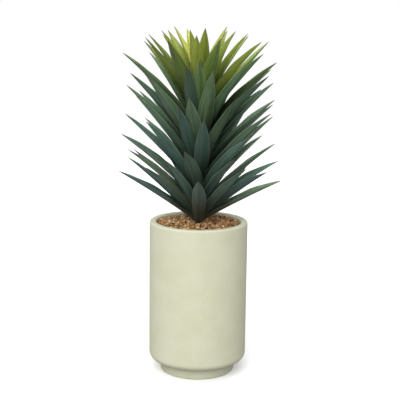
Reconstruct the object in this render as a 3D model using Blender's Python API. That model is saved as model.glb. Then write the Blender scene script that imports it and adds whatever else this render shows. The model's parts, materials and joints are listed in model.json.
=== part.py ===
"""A leafy agave-like head on an upright stem, potted in a tall footed vase.

Lengths are in metres and +Z is up. The origin is the middle of the vase's foot, on the surface it
stands on. Run it with: blender --background --python part.py
"""

import math
import random
from dataclasses import dataclass

import bmesh
import bpy
from mathutils import Vector

# The vase: one turned piece with a recessed foot.
VASE_OUTER_DIAMETER = 0.240
VASE_HEIGHT = 0.377
VASE_WALL = 0.017
VASE_FLOOR = 0.022
VASE_RIM_ROUND = 0.005
VASE_EDGE_ROUND = 0.018
FOOT_DIAMETER = 0.183
FOOT_HEIGHT = 0.028
FOOT_EDGE_ROUND = 0.004

# What fills the vase.
CLEARANCE = 0.0003
GRAVEL_BELOW_RIM = 0.007
GRAVEL_DEPTH = 0.018

# The stem, rooted in the soil.
ROOT_DEPTH = 0.060
STEM_BASE_DIAMETER = 0.019
STEM_TOP_DIAMETER = 0.009
STEM_ABOVE_GRAVEL = 0.325
STEM_TIP_HEIGHT = 0.006

# The leaves follow one spiral up the stem: the body first, then the crowded crown. Every third
# place on the spiral stays free, so that each leaf modelled here is a piece of its own.
BODY_PLACES = 59
CROWN_PLACES = 25
FREE_PLACE_EVERY = 3
FIRST_FREE_PLACE = 1
LOWEST_LEAF_ABOVE_GRAVEL = 0.004
CROWN_BELOW_STEM_TOP = 0.082
CROWN_TOP_BELOW_STEM_TOP = 0.004
SPIRAL_TURN = math.radians(137.5)
SPIRAL_START = math.radians(-91.0)

# Leaf sizes at the bottom of the stem, halfway up it, and at the innermost crown leaf.
LEAF_LENGTHS = (0.209, 0.246, 0.163)
LEAF_WIDTHS = (0.037, 0.040, 0.032)
LEAF_RISES = (math.radians(31.5), math.radians(46.0), math.radians(68.5))
LIT_SIDE_LIFT = math.radians(6.4)
LIT_SIDE = math.radians(-90.0)
LEAF_ARCHES = (math.radians(7.0), math.radians(7.5), math.radians(12.0))

# One blade: a shallow channel, narrow at the stem and widest near its middle.
BLADE_ROOT_SHARE = 0.46
BLADE_WIDEST_AT = 0.48
BLADE_TIP_POWER = 1.9
BLADE_THICKNESS = 0.0026
BLADE_TIP_THICKNESS = 0.0009
BLADE_CHANNEL = math.radians(34.0)

# How much one leaf differs from the next.
SEED = 943
TURN_SPREAD = math.radians(8.3)
RISE_SPREAD = math.radians(3.0)
ROLL_SPREAD = math.radians(18.0)
LENGTH_SPREAD = 0.02
SWAY_SPREAD = 0.012

ROUND_STEPS = 72
ARC_STEPS = 5
STEM_STEPS = 16
BLADE_STATIONS = 8

GRAVEL_TOP = VASE_HEIGHT - GRAVEL_BELOW_RIM
VASE_INNER_RADIUS = VASE_OUTER_DIAMETER / 2 - VASE_WALL
SOIL_TOP = GRAVEL_TOP - GRAVEL_DEPTH
STEM_TOP = GRAVEL_TOP + STEM_ABOVE_GRAVEL


@dataclass(frozen=True)
class Finish:
    """The colour, roughness and metallic value of one material."""

    name: str
    colour: tuple[float, float, float]
    roughness: float
    metallic: float = 0.0


@dataclass(frozen=True)
class Leaf:
    """One leaf: where it leaves the stem, how it rises and bends, and its size."""

    height: float
    turn: float
    rise: float
    arch: float
    length: float
    width: float
    roll: float
    sway: float
    youth: float


def clear_scene() -> None:
    """Remove every object of the startup scene."""
    for obj in list(bpy.data.objects):
        bpy.data.objects.remove(obj, do_unlink=True)


def material_of(finish: Finish) -> bpy.types.Material:
    """Make a Principled material of a finish."""
    material = bpy.data.materials.new(finish.name)
    material.use_nodes = True
    shader = material.node_tree.nodes["Principled BSDF"]
    shader.inputs["Base Color"].default_value = (*finish.colour, 1.0)
    shader.inputs["Roughness"].default_value = finish.roughness
    shader.inputs["Metallic"].default_value = finish.metallic
    material.diffuse_color = (*finish.colour, 1.0)
    return material


def add_object(name: str, mesh: bpy.types.Mesh, finish: Finish) -> bpy.types.Object:
    """Link a mesh to the scene as a named object with its own material."""
    mesh.shade_smooth()
    mesh.set_sharp_from_angle(angle=math.radians(35.0))
    mesh.materials.append(material_of(finish))
    obj = bpy.data.objects.new(name, mesh)
    bpy.context.scene.collection.objects.link(obj)
    return obj


def arc(middle: tuple[float, float], radius: float, start: float, end: float) -> list:
    """Return the points of an arc in the (radius, height) plane, angles in degrees."""
    angles = [math.radians(start + (end - start) * k / ARC_STEPS) for k in range(ARC_STEPS + 1)]
    return [(middle[0] + radius * math.cos(a), middle[1] + radius * math.sin(a)) for a in angles]


def turned(name: str, profile: list, closed: bool, steps: int, finish: Finish) -> bpy.types.Object:
    """Turn a profile of (radius, height) points about the Z axis into a solid.

    An open profile starts and ends on the axis and runs down its outer side. A closed one makes a
    ring.
    """
    mesh = bpy.data.meshes.new(name)
    count = len(profile)
    edges = [(k, k + 1) for k in range(count - 1)]
    if closed:
        edges.append((count - 1, 0))
    mesh.from_pydata([(r, 0.0, z) for r, z in profile], edges, [])
    obj = add_object(name, mesh, finish)
    screw = obj.modifiers.new("turn", "SCREW")
    screw.axis = "Z"
    screw.angle = math.tau
    screw.steps = steps
    screw.render_steps = steps
    screw.use_merge_vertices = True
    screw.merge_threshold = 0.00001
    return obj


def make_vase(finish: Finish) -> bpy.types.Object:
    """Model the vase: thick wall, rounded rim, rounded lower edge and recessed foot."""
    outer = VASE_OUTER_DIAMETER / 2
    foot = FOOT_DIAMETER / 2
    inner = VASE_INNER_RADIUS
    rim, edge, toe = VASE_RIM_ROUND, VASE_EDGE_ROUND, FOOT_EDGE_ROUND
    floor = FOOT_HEIGHT + VASE_FLOOR
    profile = [(0.0, floor), (inner, floor)]
    profile += arc((inner + rim, VASE_HEIGHT - rim), rim, 180.0, 90.0)
    profile += arc((outer - rim, VASE_HEIGHT - rim), rim, 90.0, 0.0)
    profile += arc((outer - edge, FOOT_HEIGHT + edge), edge, 0.0, -90.0)
    profile += [(foot, FOOT_HEIGHT)]
    profile += arc((foot - toe, toe), toe, 0.0, -90.0)
    profile += [(0.0, 0.0)]
    return turned("vase", profile, False, ROUND_STEPS, finish)


def stem_radius(height: float) -> float:
    """Return the stem's radius at a height above the gravel, which tapers evenly."""
    share = min(max(height / STEM_ABOVE_GRAVEL, 0.0), 1.0)
    return (STEM_BASE_DIAMETER + (STEM_TOP_DIAMETER - STEM_BASE_DIAMETER) * share) / 2


def make_soil(finish: Finish) -> bpy.types.Object:
    """Model the potting soil, with the socket that the stem's root fills."""
    radius = VASE_INNER_RADIUS - CLEARANCE
    socket = stem_radius(0.0) + CLEARANCE
    socket_floor = SOIL_TOP - ROOT_DEPTH
    bottom = FOOT_HEIGHT + VASE_FLOOR + CLEARANCE
    profile = [(0.0, socket_floor), (socket, socket_floor), (socket, SOIL_TOP)]
    profile += [(radius, SOIL_TOP), (radius, bottom), (0.0, bottom)]
    return turned("potting_soil", profile, False, ROUND_STEPS, finish)


def make_gravel(finish: Finish) -> bpy.types.Object:
    """Model the gravel top dressing, a flat ring about the stem."""
    outer = VASE_INNER_RADIUS - CLEARANCE
    inner = stem_radius(0.0) + CLEARANCE
    bottom = SOIL_TOP + CLEARANCE
    profile = [(inner, bottom), (inner, GRAVEL_TOP), (outer, GRAVEL_TOP), (outer, bottom)]
    return turned("gravel_top_dressing", profile, True, ROUND_STEPS, finish)


def make_stem(finish: Finish) -> bpy.types.Object:
    """Model the stem from its root in the soil to the growing tip."""
    root = SOIL_TOP - ROOT_DEPTH + CLEARANCE
    base = stem_radius(0.0)
    top = stem_radius(STEM_ABOVE_GRAVEL)
    profile = [(0.0, STEM_TOP + STEM_TIP_HEIGHT), (top * 0.6, STEM_TOP + STEM_TIP_HEIGHT * 0.7)]
    profile += [(top, STEM_TOP), (base, GRAVEL_TOP), (base, root), (0.0, root)]
    return turned("stem", profile, False, STEM_STEPS, finish)


def graded(values: tuple[float, float, float], share: float, crown: float) -> float:
    """Return a size between its lowest, middle and innermost values.

    Args:
        values: The sizes at the stem's base, at mid-height, and at the innermost crown leaf.
        share: How far up the body the leaf sits, 0 to 1.
        crown: How far into the crown it sits, 0 in the body and 1 at the growing tip.
    """
    low, middle, high = values
    body = low + (middle - low) * math.sin(math.pi / 2 * min(2 * share, 1.0))
    return body + (high - body) * crown**1.2


def plan_leaves() -> list[Leaf]:
    """Place every leaf along the spiral, lowest first."""
    chance = random.Random(SEED)
    body_top = STEM_ABOVE_GRAVEL - CROWN_BELOW_STEM_TOP
    crown_top = STEM_ABOVE_GRAVEL - CROWN_TOP_BELOW_STEM_TOP
    leaves = []
    for place in range(BODY_PLACES + CROWN_PLACES):
        share = min(place / BODY_PLACES, 1.0)
        crown = max(place - BODY_PLACES + 1, 0) / CROWN_PLACES
        height = LOWEST_LEAF_ABOVE_GRAVEL + (body_top - LOWEST_LEAF_ABOVE_GRAVEL) * share
        height += (crown_top - body_top) * crown
        turn = SPIRAL_START + SPIRAL_TURN * place + chance.uniform(-1, 1) * TURN_SPREAD
        lift = LIT_SIDE_LIFT * max(math.cos(turn - LIT_SIDE), 0.0) * (1 - crown)
        leaves.append(
            Leaf(
                height=height,
                turn=turn,
                rise=graded(LEAF_RISES, share, crown) + lift + chance.uniform(-1, 1) * RISE_SPREAD,
                arch=graded(LEAF_ARCHES, share, crown) * chance.uniform(0.5, 1.5),
                length=graded(LEAF_LENGTHS, share, crown) * (1 + chance.uniform(-1, 1) * LENGTH_SPREAD),
                width=graded(LEAF_WIDTHS, share, crown),
                roll=chance.uniform(-1, 1) * ROLL_SPREAD,
                sway=chance.uniform(-1, 1) * SWAY_SPREAD,
                youth=0.55 * share**2 + 0.45 * crown,
            )
        )
    return [leaf for place, leaf in enumerate(leaves) if place % FREE_PLACE_EVERY != FIRST_FREE_PLACE]


def blade_width(share: float) -> float:
    """Return the blade's width, as a share of its widest, at a share of its length."""
    if share < BLADE_WIDEST_AT:
        swell = math.sin(math.pi / 2 * share / BLADE_WIDEST_AT)
        return BLADE_ROOT_SHARE + (1 - BLADE_ROOT_SHARE) * swell
    return 1 - ((share - BLADE_WIDEST_AT) / (1 - BLADE_WIDEST_AT)) ** BLADE_TIP_POWER


def blade_ring(leaf: Leaf, share: float) -> list[Vector]:
    """Return the eight points of the blade's section at a share of its length.

    The leaf points along +X from the stem's axis. The points run over the channelled upper face and
    back along the keeled lower one.
    """
    start = leaf.rise + leaf.arch / 2
    angle = start - leaf.arch * share
    bend = leaf.length / leaf.arch
    half = leaf.width * blade_width(share) / 2
    root_half = leaf.width * BLADE_ROOT_SHARE / 2
    inset = root_half * math.sin(BLADE_CHANNEL) * math.sin(start) + BLADE_THICKNESS / 2
    first = stem_radius(leaf.height - root_half) + CLEARANCE + inset
    out = first + bend * (math.sin(start) - math.sin(angle))
    up = bend * (math.cos(angle) - math.cos(start))
    middle = Vector((out, leaf.sway * share**2, up))
    roll = leaf.roll * share
    side = Vector((0.0, 1.0, 0.0))
    normal = Vector((-math.sin(angle), 0.0, math.cos(angle)))
    across = side * math.cos(roll) + normal * math.sin(roll)
    above = normal * math.cos(roll) - side * math.sin(roll)
    thick = BLADE_THICKNESS + (BLADE_TIP_THICKNESS - BLADE_THICKNESS) * share
    spread = half * math.cos(BLADE_CHANNEL)
    lift = half * math.sin(BLADE_CHANNEL)
    upper = [(1.0, 1.0, 0.0), (0.5, 0.35, 0.35), (0.0, 0.0, 0.5), (-0.5, 0.35, 0.35)]
    lower = [(-1.0, 1.0, 0.0), (-0.5, 0.35, -0.35), (0.0, 0.0, -0.5), (0.5, 0.35, -0.35)]
    return [middle + across * (x * spread) + above * (y * lift + k * thick) for x, y, k in upper + lower]


def make_leaf(name: str, leaf: Leaf, finish: Finish) -> bpy.types.Object:
    """Model one leaf as a closed blade, root end at the stem and a point for its tip."""
    form = bmesh.new()
    shares = [k / BLADE_STATIONS for k in range(BLADE_STATIONS)]
    rings = [[form.verts.new(point) for point in blade_ring(leaf, share)] for share in shares]
    tip_ring = blade_ring(leaf, 1.0)
    tip = form.verts.new(sum(tip_ring, Vector()) / len(tip_ring))
    form.faces.new(rings[0])
    for near, far in zip(rings, rings[1:]):
        for k in range(len(near)):
            after = (k + 1) % len(near)
            form.faces.new((near[after], near[k], far[k], far[after]))
    last = rings[-1]
    for k in range(len(last)):
        form.faces.new((last[(k + 1) % len(last)], last[k], tip))
    bmesh.ops.recalc_face_normals(form, faces=form.faces)
    mesh = bpy.data.meshes.new(name)
    form.to_mesh(mesh)
    form.free()
    obj = add_object(name, mesh, finish)
    obj.location.z = GRAVEL_TOP + leaf.height
    obj.rotation_euler.z = leaf.turn
    return obj


def mixed(old: tuple, young: tuple, share: float) -> tuple:
    """Mix two colours."""
    return tuple(a + (b - a) * share for a, b in zip(old, young))


def build() -> None:
    """Build the vase, what fills it, and the plant."""
    clear_scene()
    make_vase(Finish("sage cream ceramic", (0.72, 0.71, 0.55), 0.65))
    make_soil(Finish("potting soil", (0.05, 0.035, 0.02), 0.95))
    make_gravel(Finish("tan gravel", (0.32, 0.21, 0.11), 0.85))
    make_stem(Finish("stem bark", (0.10, 0.11, 0.04), 0.8))
    for number, leaf in enumerate(plan_leaves(), start=1):
        colour = mixed((0.025, 0.065, 0.035), (0.33, 0.38, 0.06), leaf.youth)
        make_leaf(f"leaf_{number:02d}", leaf, Finish(f"leaf skin {number:02d}", colour, 0.45))


build()
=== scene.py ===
"""Looks for the potted agave: leaf blades, stem, gravel, vase and a plain studio.

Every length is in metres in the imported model's own frame: +Z is up, and the origin is the middle of
the vase's foot, on the surface it stands on.
"""

from __future__ import annotations

import json
import logging
import math
import random
from dataclasses import dataclass, field, replace
from enum import Enum

import bmesh
import bpy
import numpy as np
from mathutils import Euler, Matrix, Vector

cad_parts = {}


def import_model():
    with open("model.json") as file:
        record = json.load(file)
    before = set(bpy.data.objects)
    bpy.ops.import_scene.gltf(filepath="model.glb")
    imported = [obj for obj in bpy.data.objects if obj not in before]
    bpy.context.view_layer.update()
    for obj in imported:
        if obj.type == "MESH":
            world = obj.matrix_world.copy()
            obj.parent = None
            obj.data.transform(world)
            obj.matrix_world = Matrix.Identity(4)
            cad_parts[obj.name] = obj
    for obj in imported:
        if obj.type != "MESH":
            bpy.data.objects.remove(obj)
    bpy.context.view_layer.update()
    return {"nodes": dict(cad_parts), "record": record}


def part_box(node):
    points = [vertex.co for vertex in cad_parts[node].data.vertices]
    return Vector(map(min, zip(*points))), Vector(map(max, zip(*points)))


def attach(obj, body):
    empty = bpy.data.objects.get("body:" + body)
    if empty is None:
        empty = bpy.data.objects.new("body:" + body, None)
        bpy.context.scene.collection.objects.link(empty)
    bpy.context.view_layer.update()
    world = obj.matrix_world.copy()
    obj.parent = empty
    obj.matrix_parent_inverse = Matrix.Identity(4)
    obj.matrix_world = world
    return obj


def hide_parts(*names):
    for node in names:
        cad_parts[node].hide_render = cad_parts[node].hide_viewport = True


LOG = logging.getLogger("potted_agave")
BODY = "root"
SEED = 2024


# Shared helpers ------------------------------------------------------------------------------


def linear(colour: str) -> tuple[float, float, float, float]:
    """Turn an sRGB hex colour into linear light.

    Args:
        colour: The colour as "#RRGGBB".

    Returns:
        Linear red, green, blue and an alpha of 1.
    """
    parts = [int(colour[k : k + 2], 16) / 255 for k in (1, 3, 5)]
    light = [c / 12.92 if c <= 0.04045 else ((c + 0.055) / 1.055) ** 2.4 for c in parts]
    return (*light, 1.0)


def add_node(
    tree: bpy.types.NodeTree, kind: str, settings: dict | None = None, **links: object
) -> bpy.types.Node:
    """Add a shader node, set its properties and inputs, and link its inputs.

    Args:
        tree: The node tree to add to.
        kind: Blender's class name of the node, without its "ShaderNode" start.
        settings: Properties by name, or input values by input name or index.
        links: Output sockets by input name, with "_" for each space, or "in_" and an index.

    Returns:
        The new node.
    """
    node = tree.nodes.new("ShaderNode" + kind)
    for name, value in (settings or {}).items():
        if isinstance(name, str) and hasattr(node, name):
            setattr(node, name, value)
        else:
            node.inputs[name].default_value = value
    for name, socket in links.items():
        key = int(name[3:]) if name.startswith("in_") else name.replace("_", " ")
        tree.links.new(socket, node.inputs[key])
    return node


def ramp(
    tree: bpy.types.NodeTree, factor: bpy.types.NodeSocket, stops: list[tuple[float, tuple]]
) -> bpy.types.NodeSocket:
    """Colour a factor with a ramp.

    Args:
        tree: The node tree to add to.
        factor: The socket that drives the ramp.
        stops: Positions and linear colours, lowest first.

    Returns:
        The ramp's colour socket.
    """
    node = add_node(tree, "ValToRGB", None, Fac=factor)
    band = node.color_ramp
    while len(band.elements) < len(stops):
        band.elements.new(1.0)
    for element, (position, colour) in zip(band.elements, stops):
        element.position = position
        element.color = colour
    return node.outputs["Color"]


def grain_noise(
    tree: bpy.types.NodeTree, size: float, detail: float, rough: float
) -> bpy.types.NodeSocket:
    """Add a noise whose patches have a real size.

    Args:
        tree: The node tree to add to.
        size: The size of its patches, in metres.
        detail: How many finer layers it has.
        rough: How strong the finer layers are.

    Returns:
        The noise's value socket.
    """
    place = add_node(tree, "TexCoord").outputs["Object"]
    settings = {"Scale": 1 / size, "Detail": detail, "Roughness": rough}
    return add_node(tree, "TexNoise", settings, Vector=place).outputs["Fac"]


def multiply(
    tree: bpy.types.NodeTree, share: float, first: bpy.types.NodeSocket, second: bpy.types.NodeSocket
) -> bpy.types.NodeSocket:
    """Darken one colour by another.

    Args:
        tree: The node tree to add to.
        share: How much of the darkening shows.
        first: The colour to darken.
        second: The colour that darkens it.

    Returns:
        The darkened colour's socket.
    """
    settings = {"data_type": "RGBA", "blend_type": "MULTIPLY", 0: share}
    return add_node(tree, "Mix", settings, in_6=first, in_7=second).outputs[2]


def new_material(name: str) -> tuple[bpy.types.Material, bpy.types.NodeTree, bpy.types.Node]:
    """Make a material with a Principled shader.

    Args:
        name: The material's name.

    Returns:
        The material, its node tree and its Principled shader.
    """
    material = bpy.data.materials.new(name)
    material.use_nodes = True
    return material, material.node_tree, material.node_tree.nodes["Principled BSDF"]


def add_piece(
    name: str, mesh: bpy.types.Mesh, material: bpy.types.Material
) -> bpy.types.Object:
    """Link a mesh to the scene as a piece of the object.

    Args:
        name: The piece's name.
        mesh: Its mesh.
        material: Its material.

    Returns:
        The new object, riding on the one body.
    """
    mesh.materials.append(material)
    piece = bpy.data.objects.new(name, mesh)
    bpy.context.scene.collection.objects.link(piece)
    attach(piece, BODY)
    return piece


def write_attribute(mesh: bpy.types.Mesh, name: str, values: np.ndarray) -> None:
    """Store one number for each point of a mesh under a name that materials read."""
    layer = mesh.attributes.new(name, "FLOAT", "POINT")
    layer.data.foreach_set("value", np.asarray(values, np.float32))


def arc(
    middle: tuple[float, float], radius: float, start: float, end: float, steps: int
) -> list[tuple[float, float]]:
    """List the points of an arc in the (radius, height) plane.

    Args:
        middle: The arc's centre.
        radius: Its radius.
        start: The first angle, in degrees.
        end: The last angle, in degrees.
        steps: How many straight pieces stand for it.

    Returns:
        The points, first to last.
    """
    angles = [math.radians(start + (end - start) * k / steps) for k in range(steps + 1)]
    return [(middle[0] + radius * math.cos(a), middle[1] + radius * math.sin(a)) for a in angles]


def turned_mesh(name: str, profile: list[tuple[float, float]], sides: int) -> bpy.types.Mesh:
    """Turn an open profile about the Z axis into a closed mesh.

    Args:
        name: The mesh's name.
        profile: Points of (radius, height) that start and end on the axis, up the inside first.
        sides: How many sides stand for the round.

    Returns:
        A mesh with its faces outwards, shaded smooth but for its sharp corners.
    """
    form = bmesh.new()
    line = [form.verts.new((r, 0.0, z)) for r, z in profile]
    edges = [form.edges.new(pair) for pair in zip(line, line[1:])]
    bmesh.ops.spin(
        form,
        geom=line + edges,
        cent=(0, 0, 0),
        axis=(0, 0, 1),
        angle=math.tau,
        steps=sides,
        use_merge=True,
    )
    bmesh.ops.remove_doubles(form, verts=form.verts, dist=1e-6)
    bmesh.ops.recalc_face_normals(form, faces=form.faces)
    mesh = bpy.data.meshes.new(name)
    form.to_mesh(mesh)
    form.free()
    mesh.shade_smooth()
    mesh.set_sharp_from_angle(angle=math.radians(40))
    return mesh


# Finishes ------------------------------------------------------------------------------------


@dataclass(frozen=True)
class CastStoneware:
    """Unglazed stoneware, slip cast and rubbed smooth: matte, pale sage cream, faintly clouded.

    It gives the eye soft clouds about 60 mm across, and a chalky grain of 1.6 mm, drawn coarser than
    the real grain so that it shows.
    """

    body: str = "#DADABF"
    cloud: str = "#D6D6B9"
    warm: str = "#DDDCC4"
    roughness: float = 0.62
    cloud_size: float = 0.060
    grain_size: float = 0.0016

    def material(self) -> bpy.types.Material:
        """Build the material."""
        material, tree, shader = new_material("unglazed stoneware, slip cast")
        stops = [(0.35, linear(self.cloud)), (0.55, linear(self.body)), (0.75, linear(self.warm))]
        clouded = ramp(tree, grain_noise(tree, self.cloud_size, 4.0, 0.55), stops)
        grain = grain_noise(tree, self.grain_size, 2.0, 0.6)
        shade = ramp(tree, grain, [(0.3, linear("#EFEFEF")), (0.6, linear("#FFFFFF"))])
        tree.links.new(multiply(tree, 0.6, clouded, shade), shader.inputs["Base Color"])
        bump = add_node(tree, "Bump", {"Strength": 0.12, "Distance": 0.0004}, Height=grain)
        tree.links.new(bump.outputs["Normal"], shader.inputs["Normal"])
        shader.inputs["Roughness"].default_value = self.roughness
        return material


@dataclass(frozen=True)
class LeafSkin:
    """Living leaf under a thin wax: lengthwise veins, deeper bases, a soft sheen and dry tips.

    The blade's stored values drive it: along and across the blade, its face, and the leaf's youth,
    warmth and tone. The colours run from the oldest leaf to the innermost one. Real veins are about
    1 mm apart, too fine to show, so they are drawn coarser, and darker in their furrows, partly as
    painted shade. The patches are 15 mm by 55 mm. Painted shade darkens each blade towards its root
    and on its underside, and painted light brightens it towards its tip.
    """

    name: str
    base: str
    tip: str
    margin: str = "#9FA988"
    cool: tuple[str, ...] = ("#577574", "#5A7A6C", "#63865E", "#86A04E", "#A6B655", "#B9C565")
    warm: tuple[str, ...] = ("#657B66", "#6A8459", "#7C944C", "#9BA648", "#BABF52", "#C9CB65")
    roughness: float = 0.38
    half_width: float = 0.0198
    vein_spacing: float = 0.0033
    vein_stretch: float = 1.6
    patches: tuple[float, float, float] = (1.3, 4.0, 31.0)
    vein_seed: float = 47.0
    ior: float = 1.42
    translucency: float = 0.10

    def material(self) -> bpy.types.Material:
        """Build the material."""
        material, tree, shader = new_material(self.name)

        def value(name: str) -> bpy.types.NodeSocket:
            """Read one of the blade's stored values."""
            return add_node(tree, "Attribute", {"attribute_name": name}).outputs["Fac"]

        along, across, face, youth, warmth, tone = (
            value(name) for name in ("along", "across", "face", "youth", "warmth", "tone")
        )

        def blend(
            factor: bpy.types.NodeSocket, first: bpy.types.NodeSocket, colour: str
        ) -> bpy.types.NodeSocket:
            """Mix a plain colour over a socket."""
            settings = {"data_type": "RGBA", 7: linear(colour)}
            return add_node(tree, "Mix", settings, in_0=factor, in_6=first).outputs[2]

        def span(
            source: bpy.types.NodeSocket, low: float, high: float, start: float, end: float
        ) -> bpy.types.NodeSocket:
            """Map one span of a value onto another, held at its ends."""
            ends = {"From Min": low, "From Max": high, "To Min": start, "To Max": end}
            settings = {"interpolation_type": "SMOOTHSTEP", **ends}
            return add_node(tree, "MapRange", settings, Value=source).outputs[0]

        def noise(vector: bpy.types.NodeSocket, detail: float, rough: float) -> bpy.types.NodeSocket:
            """Read a noise at a place that is already scaled."""
            settings = {"Scale": 1.0, "Detail": detail, "Roughness": rough}
            return add_node(tree, "TexNoise", settings, Vector=vector).outputs["Fac"]

        steps = [k / (len(self.cool) - 1) for k in range(len(self.cool))]
        cool = ramp(tree, youth, list(zip(steps, map(linear, self.cool))))
        warm = ramp(tree, youth, list(zip(steps, map(linear, self.warm))))
        skin = add_node(tree, "Mix", {"data_type": "RGBA"}, in_0=warmth, in_6=cool, in_7=warm).outputs[2]
        flow = add_node(tree, "CombineXYZ", None, X=across, Y=along, Z=tone).outputs[0]
        stretch = {"operation": "MULTIPLY", 1: self.patches}
        blotch = noise(add_node(tree, "VectorMath", stretch, in_0=flow).outputs[0], 2.0, 0.5)
        skin = blend(span(blotch, 0.50, 0.72, 0.0, 0.45), skin, self.base)
        skin = blend(span(along, 0.05, 0.62, 0.85, 0.0), skin, self.base)
        reach = add_node(tree, "Math", {"operation": "ABSOLUTE"}, in_0=across).outputs[0]
        skin = blend(span(reach, 0.86, 1.0, 0.0, 0.45), skin, self.margin)
        skin = blend(span(along, 0.90, 1.0, 0.0, 0.85), skin, self.tip)
        per_half = self.half_width / self.vein_spacing
        stretch = {"operation": "MULTIPLY", 1: (per_half, self.vein_stretch, self.vein_seed)}
        veins = noise(add_node(tree, "VectorMath", stretch, in_0=flow).outputs[0], 4.0, 0.6)
        # painted shade: the vein streaks are darkened in their furrows, partly their own colour and
        # partly painted shade
        furrow_painted_shade, slope, crest = (linear(colour) for colour in ("#8F978C", "#E2E4DC", "#FFFFFF"))
        shade = ramp(tree, veins, [(0.32, furrow_painted_shade), (0.5, slope), (0.66, crest)])
        veins_and_furrow_shade = multiply(tree, 0.8, skin, shade)
        # painted shade and light: the underside is darkened, and the blade darkens towards its root as if
        # shaded and brightens towards its tip as if lit
        under = span(face, 0.4, 0.6, 1.0, 0.82)
        times = {"operation": "MULTIPLY"}
        painted_root_shade_tip_light = span(along, 0.0, 0.80, 0.53, 1.34)
        depth = add_node(tree, "Math", times, in_0=painted_root_shade_tip_light, in_1=under)
        own = span(tone, 0.0, 1.0, 0.76, 1.26)
        tone_and_painted_shade = add_node(tree, "Math", times, in_0=own, in_1=depth.outputs[0])
        level = tone_and_painted_shade.outputs[0]
        toned_and_painted_shade = add_node(tree, "VectorMath", {"operation": "SCALE"}, in_0=veins_and_furrow_shade, Scale=level)
        tree.links.new(toned_and_painted_shade.outputs[0], shader.inputs["Base Color"])
        bump = add_node(tree, "Bump", {"Strength": 0.6, "Distance": 0.0006}, Height=veins)
        tree.links.new(bump.outputs["Normal"], shader.inputs["Normal"])
        shader.inputs["Roughness"].default_value = self.roughness
        shader.inputs["IOR"].default_value = self.ior
        shader.inputs["Subsurface Weight"].default_value = self.translucency
        shader.inputs["Subsurface Radius"].default_value = (0.7, 1.0, 0.2)
        shader.inputs["Subsurface Scale"].default_value = 0.003
        return material


@dataclass(frozen=True)
class CrushedGravel:
    """Crushed river gravel, washed and dry: each chip its own tan, brown or cream, dull and gritty.

    It gives the eye a mixed tan bed with dark and pale specks, and 0.9 mm grit on each chip.
    """

    shades: tuple[str, ...] = (
        "#382105",
        "#6B471A",
        "#98703D",
        "#B28550",
        "#C39B6A",
        "#B2713A",
        "#D9BC8E",
        "#EFDDBB",
    )
    roughness: float = 0.7
    grit_size: float = 0.0009

    def material(self) -> bpy.types.Material:
        """Build the material, which reads each chip's own shade value."""
        material, tree, shader = new_material("crushed gravel, washed")
        shade = add_node(tree, "Attribute", {"attribute_name": "shade"}).outputs["Fac"]
        count = len(self.shades)
        stops = [(k / (count - 1), linear(colour)) for k, colour in enumerate(self.shades)]
        chip = ramp(tree, shade, stops)
        grit = grain_noise(tree, self.grit_size, 3.0, 0.7)
        speckle = ramp(tree, grit, [(0.3, linear("#D0C4B4")), (0.55, linear("#FFFFFF"))])
        tree.links.new(multiply(tree, 0.7, chip, speckle), shader.inputs["Base Color"])
        bump = add_node(tree, "Bump", {"Strength": 0.4, "Distance": 0.0003}, Height=grit)
        tree.links.new(bump.outputs["Normal"], shader.inputs["Normal"])
        shader.inputs["Roughness"].default_value = self.roughness
        return material


@dataclass(frozen=True)
class Earth:
    """A granular or fibrous natural stuff in two shades, such as potting mix or green bark.

    It gives the eye a dull, broken surface with no sheen, mottled at the size of its own grain.
    """

    name: str
    dark: str
    light: str
    grain: float
    roughness: float
    bump: float

    def material(self) -> bpy.types.Material:
        """Build the material."""
        material, tree, shader = new_material(self.name)
        grain = grain_noise(tree, self.grain, 6.0, 0.65)
        colour = ramp(tree, grain, [(0.35, linear(self.dark)), (0.65, linear(self.light))])
        tree.links.new(colour, shader.inputs["Base Color"])
        bump = add_node(tree, "Bump", {"Strength": 0.7, "Distance": self.bump}, Height=grain)
        tree.links.new(bump.outputs["Normal"], shader.inputs["Normal"])
        shader.inputs["Roughness"].default_value = self.roughness
        return material


# The vase and what fills it ------------------------------------------------------------------


@dataclass
class Vase:
    """The turned vase: thick wall, soft rim, rounded lower edge and recessed foot."""

    finish: CastStoneware = field(default_factory=CastStoneware)
    wall: float = 0.017
    floor: float = 0.022
    rim_round: float = 0.005
    edge_round: float = 0.018
    foot_diameter: float = 0.183
    foot_height: float = 0.028
    foot_edge_round: float = 0.004
    sides: int = 192

    def build(self) -> bpy.types.Object:
        """Build the vase from the box of its node and its own wall, foot and rounds."""
        low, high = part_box("vase")
        outer = float(high[0] - low[0]) / 2
        height = float(high[2])
        inner = outer - self.wall
        foot = self.foot_diameter / 2
        rim, edge, toe = self.rim_round, self.edge_round, self.foot_edge_round
        base = self.foot_height + self.floor
        profile = [(0.0, base), (inner, base)]
        profile += arc((inner + rim, height - rim), rim, 180.0, 90.0, 10)
        profile += arc((outer - rim, height - rim), rim, 90.0, 0.0, 10)
        profile += arc((outer - edge, self.foot_height + edge), edge, 0.0, -90.0, 14)
        profile += [(foot, self.foot_height)]
        profile += arc((foot - toe, toe), toe, 0.0, -90.0, 8)
        profile += [(0.0, 0.0)]
        mesh = turned_mesh("vase_body", profile, self.sides)
        piece = add_piece("vase_body", mesh, self.finish.material())
        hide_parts("vase")
        return piece


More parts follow.
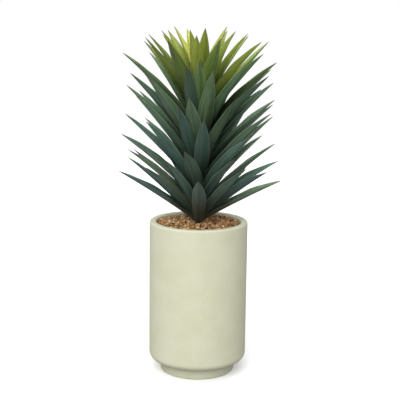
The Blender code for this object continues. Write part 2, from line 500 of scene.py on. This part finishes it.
@dataclass
class GravelBed:
    """The gravel top dressing: loose chips in two layers over a bed of finer grit.

    The chips are heaped a few millimetres above their node, nearer to the rim. The bed of grit is
    coloured darker than the chips, partly its own colour and partly painted shade in the gaps between
    them.
    """

    finish: CrushedGravel = field(default_factory=CrushedGravel)
    spacing: float = 0.0056
    chip_size: tuple[float, float] = (0.0028, 0.0047)
    wall_gap: float = 0.0008
    heap: float = 0.0032
    bed_drop: float = 0.006
    relief: float = 0.0022
    layers: int = 2
    kinds: int = 40
    lying_flat: float = 0.6
    stem_gap: float = 0.002

    def chip(self, chance: random.Random) -> tuple[np.ndarray, list[tuple[int, ...]]]:
        """Shape one crushed chip as the hull of a few points on a squashed ball.

        Args:
            chance: The source of its shape.

        Returns:
            The chip's points about its middle, and its faces.
        """
        form = bmesh.new()
        size = chance.uniform(*self.chip_size)
        squash = (1.0, chance.uniform(0.6, 0.95), chance.uniform(0.45, 0.75))
        for _ in range(13):
            way = Vector([chance.gauss(0, 1) for _ in range(3)]).normalized()
            form.verts.new([way[k] * squash[k] * size for k in range(3)])
        bmesh.ops.convex_hull(form, input=form.verts)
        loose = [v for v in form.verts if not v.link_faces]
        bmesh.ops.delete(form, geom=loose, context="VERTS")
        form.verts.index_update()
        points = np.array([v.co for v in form.verts])
        faces = [tuple(v.index for v in face.verts) for face in form.faces]
        form.free()
        return points, faces

    def places(self, inner: float, outer: float, top: float, chance: random.Random) -> list[Vector]:
        """Scatter the middles of the chips over a ring on a shaken triangular grid.

        Args:
            inner: The ring's inner radius.
            outer: Its outer radius.
            top: The height that the upper chips reach.
            chance: The source of the shaking.

        Returns:
            The middles, lower layer first.
        """
        spots = []
        row_step = self.spacing * math.sqrt(3) / 2
        reach = int(outer / row_step) + 1
        for layer in range(self.layers):
            drop = (self.layers - 1 - layer) * self.spacing * 0.7
            for row in range(-reach, reach + 1):
                for column in range(-reach, reach + 1):
                    x = (column + 0.5 * (row % 2) + 0.33 * layer) * self.spacing
                    y = (row + 0.33 * layer) * row_step
                    x += chance.uniform(-0.4, 0.4) * self.spacing
                    y += chance.uniform(-0.4, 0.4) * self.spacing
                    if inner < math.hypot(x, y) < outer:
                        height = top - drop - self.chip_size[1] * 0.5
                        height += chance.uniform(-1, 0.6) * self.relief
                        spots.append(Vector((x, y, height)))
        return spots

    def build(self) -> list[bpy.types.Object]:
        """Build the chips and the bed under them in place of the plain gravel ring."""
        chance = random.Random(SEED)
        low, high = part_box("gravel_top_dressing")
        outer = float(high[0])
        top = float(high[2])
        chip_top = top + self.heap
        stem_low, stem_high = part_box("stem")
        inner = float(stem_high[0] - stem_low[0]) / 2
        reach = outer - self.wall_gap - self.chip_size[0]
        kinds = [self.chip(chance) for _ in range(self.kinds)]
        points: list[np.ndarray] = []
        faces: list[tuple[int, ...]] = []
        shades: list[float] = []
        count = 0
        for spot in self.places(inner + self.stem_gap, reach, chip_top, chance):
            form, sides = chance.choice(kinds)
            turn = Euler([chance.uniform(0, math.tau) for _ in range(3)]).to_matrix()
            if chance.random() < self.lying_flat:
                tip = (chance.uniform(-0.5, 0.5), chance.uniform(-0.5, 0.5))
                turn = Euler((*tip, chance.uniform(0, math.tau))).to_matrix()
            points.append(form @ np.array(turn).T + np.array(spot))
            faces += [tuple(k + count for k in side) for side in sides]
            shades += [min(max(chance.gauss(0.49, 0.27), 0.0), 1.0)] * len(form)
            count += len(form)
        mesh = bpy.data.meshes.new("gravel_chips")
        mesh.from_pydata(np.concatenate(points).tolist(), [], faces)
        write_attribute(mesh, "shade", np.array(shades))
        material = self.finish.material()
        chips = add_piece("gravel_chips", mesh, material)
        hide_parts("gravel_top_dressing")
        bed_top = chip_top - self.bed_drop
        bed_low = float(low[2])
        profile = [(0.0, bed_top), (outer, bed_top), (outer, bed_low), (0.0, bed_low)]
        ring = turned_mesh("gravel_grit_and_shade", profile, 96)
        # painted shade: the grit bed is darker than the chips, partly the fines' own colour and partly
        # the shade in the gaps between chips
        grit = Earth("crushed gravel fines, darkened as shade", "#3A2A1A", "#7A5C3C", 0.0015, 0.9, 0.0006)
        bed = add_piece("gravel_grit_and_shade", ring, grit.material())
        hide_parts("gravel_top_dressing")
        return [chips, bed]


@dataclass
class Stem:
    """The upright stem, ringed by the scars and sheaths of its leaves."""

    finish: Earth = Earth("green bark, leaf scarred", "#2C3720", "#55613A", 0.004, 0.8, 0.0008)
    ring_step: float = 0.0052
    ring_relief: float = 0.0005
    sides: int = 40

    def build(self) -> bpy.types.Object:
        """Build the stem over the length of its node, with the same taper."""
        low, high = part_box("stem")
        gravel_top = float(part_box("gravel_top_dressing")[1][2])
        base = float(high[0] - low[0]) / 2
        top = base * 0.47
        profile = [(0.0, float(high[2])), (top * 0.6, float(high[2]) - 0.0018)]
        height = float(high[2]) - 0.006
        while height > gravel_top:
            share = (height - gravel_top) / (float(high[2]) - gravel_top)
            radius = base + (top - base) * share
            profile += [(radius, height), (radius - self.ring_relief, height - self.ring_step * 0.75)]
            height -= self.ring_step
        profile += [(base, gravel_top - 0.002), (base, float(low[2])), (0.0, float(low[2]))]
        mesh = turned_mesh("stem_bark", profile, self.sides)
        piece = add_piece("stem_bark", mesh, self.finish.material())
        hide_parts("stem")
        return piece


# The leaves ----------------------------------------------------------------------------------


LIFT_LEFT = 0.575  # the share of a section's depth between the mean of its points and its edges


@dataclass
class BladeLine:
    """One leaf's course, in its own upright plane: X out from the stem, Y across, Z up."""

    turn: float
    valley: np.ndarray
    side: np.ndarray
    above: np.ndarray
    width: float
    height: float

    @staticmethod
    def of_node(obj: bpy.types.Object, ring: int = 8) -> BladeLine:
        """Measure a leaf node: its rings of points from root to tip.

        Args:
            obj: The node's object.
            ring: How many points each of its sections has.

        Returns:
            The leaf's course, turned so that it points along X.
        """
        points = np.array([v.co for v in obj.data.vertices])
        points = np.unique(np.round(points, 6), axis=0)
        root = points[np.argmin(np.hypot(points[:, 0], points[:, 1]))]
        tip = points[np.argmax(np.linalg.norm(points - root, axis=1))]
        order = np.argsort(-np.linalg.norm(points - tip, axis=1))
        rings = points[order][:-1].reshape(-1, ring, 3)
        turn = math.atan2(tip[1], tip[0])
        back = np.array(Matrix.Rotation(-turn, 3, "Z"))
        valley: list[np.ndarray] = []
        side: list[np.ndarray] = []
        above: list[np.ndarray] = []
        width: list[float] = []
        for section in rings:
            local = section @ back.T
            apart = np.linalg.norm(local[:, None] - local[None], axis=2)
            a, b = np.unravel_index(np.argmax(apart), apart.shape)
            if local[a, 1] < local[b, 1]:
                a, b = b, a
            middle = (local[a] + local[b]) / 2
            lift = (middle - local.mean(axis=0)) / LIFT_LEFT
            valley.append(middle - lift)
            side.append((local[a] - local[b]) / apart[a, b])
            above.append(lift / np.linalg.norm(lift))
            width.append(apart[a, b])
        valley.append(back @ tip)
        side.append(side[-1])
        above.append(above[-1])
        courses = (np.array(valley), np.array(side), np.array(above))
        return BladeLine(turn, *courses, max(width), float(root[2]))

    @staticmethod
    def between(a: BladeLine, b: BladeLine, chance: random.Random) -> BladeLine:
        """Work out the leaf of the free place between two leaves of the spiral.

        Args:
            a: The leaf below it on the spiral.
            b: The leaf above it.
            chance: The source of its small differences.

        Returns:
            The course of the leaf between them.
        """
        step = ((b.turn - a.turn) % math.tau) / 2
        turn = a.turn + step + math.radians(chance.uniform(-5, 5))
        tilt = np.array(Matrix.Rotation(math.radians(chance.uniform(-4, 3)), 3, "Y"))
        valley = (a.valley + b.valley) / 2
        root = valley[0]
        stretch = chance.uniform(0.97, 1.04)
        valley = root + ((valley - root) * stretch) @ tilt.T
        side = (a.side + b.side) @ tilt.T
        above = (a.above + b.above) @ tilt.T
        width, height = (a.width + b.width) / 2, (a.height + b.height) / 2
        return BladeLine(turn, valley, side, above, width, height)

    def moved(self, turn: float, lift: float) -> BladeLine:
        """Copy this leaf to another side of the stem.

        Args:
            turn: The side that the copy points to, in radians.
            lift: How far it's raised about its root, in radians.

        Returns:
            The copy's course.
        """
        tilt = np.array(Matrix.Rotation(-lift, 3, "Y"))
        valley = self.valley[0] + (self.valley - self.valley[0]) @ tilt.T
        side, above = self.side @ tilt.T, self.above @ tilt.T
        return replace(self, turn=turn, valley=valley, side=side, above=above)


class Age(Enum):
    """How old a leaf is, which sets the slot that it takes its finish from."""

    OLD = "old_leaf"
    MATURE = "mature_leaf"
    YOUNG = "young_leaf"
    CROWN = "crown_leaf"


@dataclass
class Blade:
    """One leaf blade, built fine: channelled above, keeled below, with a thin rippled edge.

    Its thin margin stands past its node on both sides, and its root runs a little further in.
    """

    line: BladeLine
    youth: float
    root_share: float = 0.62
    widest_at: float = 0.46
    tip_power: float = 1.9
    margin: float = 0.0016
    root_sunk: float = 0.018
    channel: float = math.radians(34.0)
    thickness: float = 0.0024
    tip_thickness: float = 0.0006
    edge_thickness: float = 0.00035
    ripple: float = 0.0007
    stations: int = 46
    across: int = 13

    def widths(self, share: np.ndarray) -> np.ndarray:
        """Give the half width, as a share of the widest, along the blade."""
        rise = np.sin(np.pi / 2 * np.minimum(share / self.widest_at, 1))
        swell = self.root_share + (1 - self.root_share) * rise
        past = np.clip((share - self.widest_at) / (1 - self.widest_at), 0, 1)
        return np.where(share < self.widest_at, swell, 1 - past**self.tip_power)

    def mesh(self, name: str, chance: random.Random) -> bpy.types.Mesh:
        """Build the blade's mesh.

        Args:
            name: The mesh's name.
            chance: The source of its ripple and tone.

        Returns:
            A closed mesh that carries its along, across, face, youth, tone and warmth values.
        """
        share = 1 - (1 - np.linspace(0, 1, self.stations)) ** 1.15
        share = share[:-1] * (1 + self.root_sunk) - self.root_sunk
        known = np.linspace(0, 1, len(self.line.valley))

        def through(values: np.ndarray, degree: int) -> np.ndarray:
            """Run a smooth line through the measured sections."""
            return np.stack([np.polyval(np.polyfit(known, v, degree), share) for v in values.T], axis=1)

        valley = through(self.line.valley, 4)
        side = through(self.line.side, 3)
        side /= np.linalg.norm(side, axis=1)[:, None]
        above = through(self.line.above, 3)
        above -= side * np.sum(above * side, axis=1)[:, None]
        above /= np.linalg.norm(above, axis=1)[:, None]
        half = (self.line.width / 2 + self.margin) * self.widths(share)
        lift = half * math.tan(self.channel)
        u = np.sin(np.linspace(-np.pi / 2, np.pi / 2, self.across))
        soft = (np.sqrt(u**2 + 0.01) - 0.1) / (math.sqrt(1.01) - 0.1)
        thick = self.thickness + (self.tip_thickness - self.thickness) * share
        thick = np.minimum(thick, half * 0.35)
        body = np.clip(1 - np.abs(u) ** 2.4, 0, 1)
        phase = chance.uniform(0, math.tau)
        waves = chance.uniform(2.2, 3.6)
        ripple = np.sin(share * math.tau * waves + phase) * self.ripple * np.sin(np.pi * share)
        lean = chance.uniform(-0.25, 0.25)
        groove = np.exp(-((u / 0.10) ** 2))
        height = lift[:, None] * soft[None] * (1 + lean * u[None])
        height = height + ripple[:, None] * (u * np.abs(u))[None]
        upper = height + thick[:, None] * (0.5 * body - 0.10 * groove)[None] + self.edge_thickness / 2
        lower = height - thick[:, None] * (0.5 * body + 0.22 * groove)[None] - self.edge_thickness / 2
        spread = half[:, None] * u[None]

        def surface(rise: np.ndarray) -> np.ndarray:
            """Place one face of the blade."""
            return valley[:, None] + side[:, None] * spread[..., None] + above[:, None] * rise[..., None]

        top, bottom = surface(upper), surface(lower)
        loops = np.concatenate([top, bottom[:, ::-1]], axis=1)
        rows, ring = loops.shape[:2]
        points = np.concatenate([loops.reshape(-1, 3), self.line.valley[-1][None]])
        spin = np.array(Matrix.Rotation(self.line.turn, 3, "Z"))
        points = points @ spin.T
        faces = []
        for row in range(rows - 1):
            for k in range(ring):
                after = (k + 1) % ring
                here, there = row * ring, (row + 1) * ring
                faces.append((here + after, here + k, there + k, there + after))
        last = (rows - 1) * ring
        tip = len(points) - 1
        faces += [(last + (k + 1) % ring, last + k, tip) for k in range(ring)]
        faces.append(tuple(range(ring)))
        mesh = bpy.data.meshes.new(name)
        mesh.from_pydata(points.tolist(), [], faces)
        mesh.shade_smooth()
        sides = np.concatenate([u, u[::-1]])
        under = np.concatenate([np.zeros(len(u)), np.ones(len(u))])
        write_attribute(mesh, "along", np.append(np.repeat(share, ring), 1.0))
        write_attribute(mesh, "across", np.append(np.tile(sides, rows), 0.0))
        write_attribute(mesh, "face", np.append(np.tile(under, rows), 0.0))
        write_attribute(mesh, "youth", np.full(len(points), self.youth))
        write_attribute(mesh, "tone", np.full(len(points), chance.random()))
        write_attribute(mesh, "warmth", np.full(len(points), chance.random()))
        return mesh


@dataclass
class LeafHead:
    """The whole head of leaves: a blade for each leaf node, and the leaves of the free places.

    The lowest leaves, which fill the foot of the head, are copies of a named leaf, each with the side
    that it points to and how far it's raised, in degrees.
    """

    skins: dict[Age, LeafSkin] = field(
        default_factory=lambda: {
            Age.OLD: LeafSkin("waxy leaf, old blue green", "#475D52", "#7A6E5E"),
            Age.MATURE: LeafSkin("waxy leaf, mature green", "#4E6045", "#7A6E5E"),
            Age.YOUNG: LeafSkin("waxy leaf, young green", "#66813A", "#8E8367", translucency=0.18),
            Age.CROWN: LeafSkin("waxy leaf, yellow green heart", "#788C32", "#998E6E", translucency=0.28),
        }
    )
    low_leaves: tuple[tuple[str, float, float], ...] = (
        ("leaf_02", -15.0, -4.0),
        ("leaf_03", 187.0, 6.5),
        ("leaf_02", -52.0, 9.0),
        ("leaf_03", -122.0, 12.0),
    )

    def build(self, nodes: dict[str, bpy.types.Object], slots: dict[str, str]) -> list[bpy.types.Object]:
        """Build every blade.

        Args:
            nodes: The frame's nodes by name.
            slots: The record's material slot of each node.

        Returns:
            The blades, the leaf nodes' own first.
        """
        chance = random.Random(SEED + 1)
        names = sorted(name for name in nodes if name.startswith("leaf_"))
        lines = [BladeLine.of_node(nodes[name]) for name in names]
        low = min(line.height for line in lines)
        high = max(line.height for line in lines)
        skins = {age: skin.material() for age, skin in self.skins.items()}
        pieces = []
        for name, line in zip(names, lines):
            age = Age(slots[name])
            youth = self.youth_at((line.height - low) / (high - low))
            mesh = Blade(line, youth).mesh(name.replace("leaf", "blade"), chance)
            piece = add_piece(mesh.name, mesh, skins[age])
            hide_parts(name)
            pieces.append(piece)
        for number, (below, above) in enumerate(zip(lines[::2], lines[1::2]), start=1):
            age = Age(slots[names[2 * number - 1]])
            line = BladeLine.between(below, above, chance)
            youth = self.youth_at((line.height - low) / (high - low))
            mesh = Blade(line, youth).mesh(f"blade_between_{number:02d}", chance)
            pieces.append(add_piece(mesh.name, mesh, skins[age]))
        for number, (name, turn, lift) in enumerate(self.low_leaves, start=1):
            line = lines[names.index(name)].moved(math.radians(turn), math.radians(lift))
            mesh = Blade(line, 0.0).mesh(f"blade_low_{number:02d}", chance)
            pieces.append(add_piece(mesh.name, mesh, skins[Age.OLD]))
        return pieces

    @staticmethod
    def youth_at(share: float) -> float:
        """Turn a leaf's place up the stem into how young its colour is."""
        return 0.35 * share**1.5 + 0.65 * max((share - 0.60) / 0.40, 0.0) ** 1.15


# The studio ----------------------------------------------------------------------------------


@dataclass
class Studio:
    """A plain pale floor and backdrop, soft lights, and the camera."""

    aim: tuple[float, float, float] = (0.0027, 0.0, 0.4274)
    distance: float = 2.27
    elevation: float = math.radians(10.9)
    lean: float = math.radians(0.71)
    lens: float = 83.8
    floor_size: float = 8.0
    paper_glow: float = 0.16

    def camera(self) -> None:
        """Set the camera."""
        back = Vector((0.0, -math.cos(self.elevation), math.sin(self.elevation)))
        camera = bpy.data.cameras.new("camera")
        camera.sensor_width = 36.0
        camera.lens = self.lens
        holder = bpy.data.objects.new("camera", camera)
        bpy.context.scene.collection.objects.link(holder)
        holder.location = Vector(self.aim) + back * self.distance
        holder.rotation_mode = "QUATERNION"
        level = back.to_track_quat("Z", "Y")
        holder.rotation_quaternion = level @ Matrix.Rotation(self.lean, 3, "Z").to_quaternion()
        bpy.context.scene.camera = holder

    def floor(self) -> None:
        """Lay the floor: mid grey to the light, and plain white where the camera sees it."""
        mesh = bpy.data.meshes.new("studio_floor")
        half = self.floor_size / 2
        corners = [(-half, -half, 0), (half, -half, 0), (half, half, 0), (-half, half, 0)]
        mesh.from_pydata(corners, [], [(0, 1, 2, 3)])
        material, tree, shader = new_material("seamless studio paper")
        seen = add_node(tree, "LightPath").outputs["Is Camera Ray"]
        paper = ramp(tree, seen, [(0.0, linear("#959595")), (1.0, linear("#FFFFFF"))])
        tree.links.new(paper, shader.inputs["Base Color"])
        glow = add_node(tree, "MapRange", {"To Min": 0.0, "To Max": self.paper_glow}, Value=seen)
        shader.inputs["Emission Color"].default_value = (1.0, 1.0, 1.0, 1.0)
        tree.links.new(glow.outputs[0], shader.inputs["Emission Strength"])
        shader.inputs["Roughness"].default_value = 0.9
        mesh.materials.append(material)
        floor = bpy.data.objects.new("studio_floor", mesh)
        bpy.context.scene.collection.objects.link(floor)

    def sun(self, name: str, way: tuple, spread: float, strength: float, colour: str) -> None:
        """Hang one soft light so far off that it falls evenly.

        Args:
            name: Its name.
            way: The direction from the object towards it.
            spread: How wide it looks, in degrees.
            strength: Its strength in watts per square metre.
            colour: Its sRGB hex colour.
        """
        lamp = bpy.data.lights.new(name, "SUN")
        lamp.angle = math.radians(spread)
        lamp.energy = strength
        lamp.color = linear(colour)[:3]
        holder = bpy.data.objects.new(name, lamp)
        bpy.context.scene.collection.objects.link(holder)
        holder.rotation_mode = "QUATERNION"
        holder.rotation_quaternion = Vector(way).to_track_quat("Z", "Y")

    def sky(self, strength: float) -> None:
        """Surround everything with even white light, seen as plain white."""
        world = bpy.data.worlds.new("studio_white")
        world.use_nodes = True
        tree = world.node_tree
        shade = tree.nodes["Background"]
        shade.inputs["Color"].default_value = (1.0, 1.0, 1.0, 1.0)
        seen = add_node(tree, "LightPath").outputs["Is Camera Ray"]
        level = add_node(tree, "MapRange", {"To Min": strength, "To Max": 1.0}, Value=seen)
        tree.links.new(level.outputs[0], shade.inputs["Strength"])
        bpy.context.scene.world = world

    def build(self) -> None:
        """Set up the whole studio."""
        bpy.context.scene.view_settings.view_transform = "Standard"
        self.camera()
        self.floor()
        self.sun("key_left", (-0.22, -1.0, 0.75), 45.0, 2.15, "#FFFFFF")
        self.sun("top_soft", (-0.2, 0.25, 1.0), 90.0, 0.8, "#FFFFFF")
        self.sky(0.54)


def main() -> None:
    """Load the frame, dress every piece, and set up the studio."""
    logging.basicConfig(level=logging.INFO, format="%(message)s")
    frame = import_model()
    slots = {part["node"]: part["material_slot"] for part in frame["record"]["subparts"]}
    nodes = frame["nodes"]
    Studio().build()
    soil = Earth("peat potting mix", "#1E1510", "#4A3626", 0.003, 0.95, 0.002).material()
    nodes["potting_soil"].data.materials.clear()
    nodes["potting_soil"].data.materials.append(soil)
    LOG.info("potting_soil carried over")
    pieces = [Vase().build(), *GravelBed().build(), Stem().build()]
    pieces += LeafHead().build(nodes, slots)
    for piece in pieces:
        LOG.info("%s: %d faces", piece.name, len(piece.data.polygons))


if __name__ == "__main__":
    main()
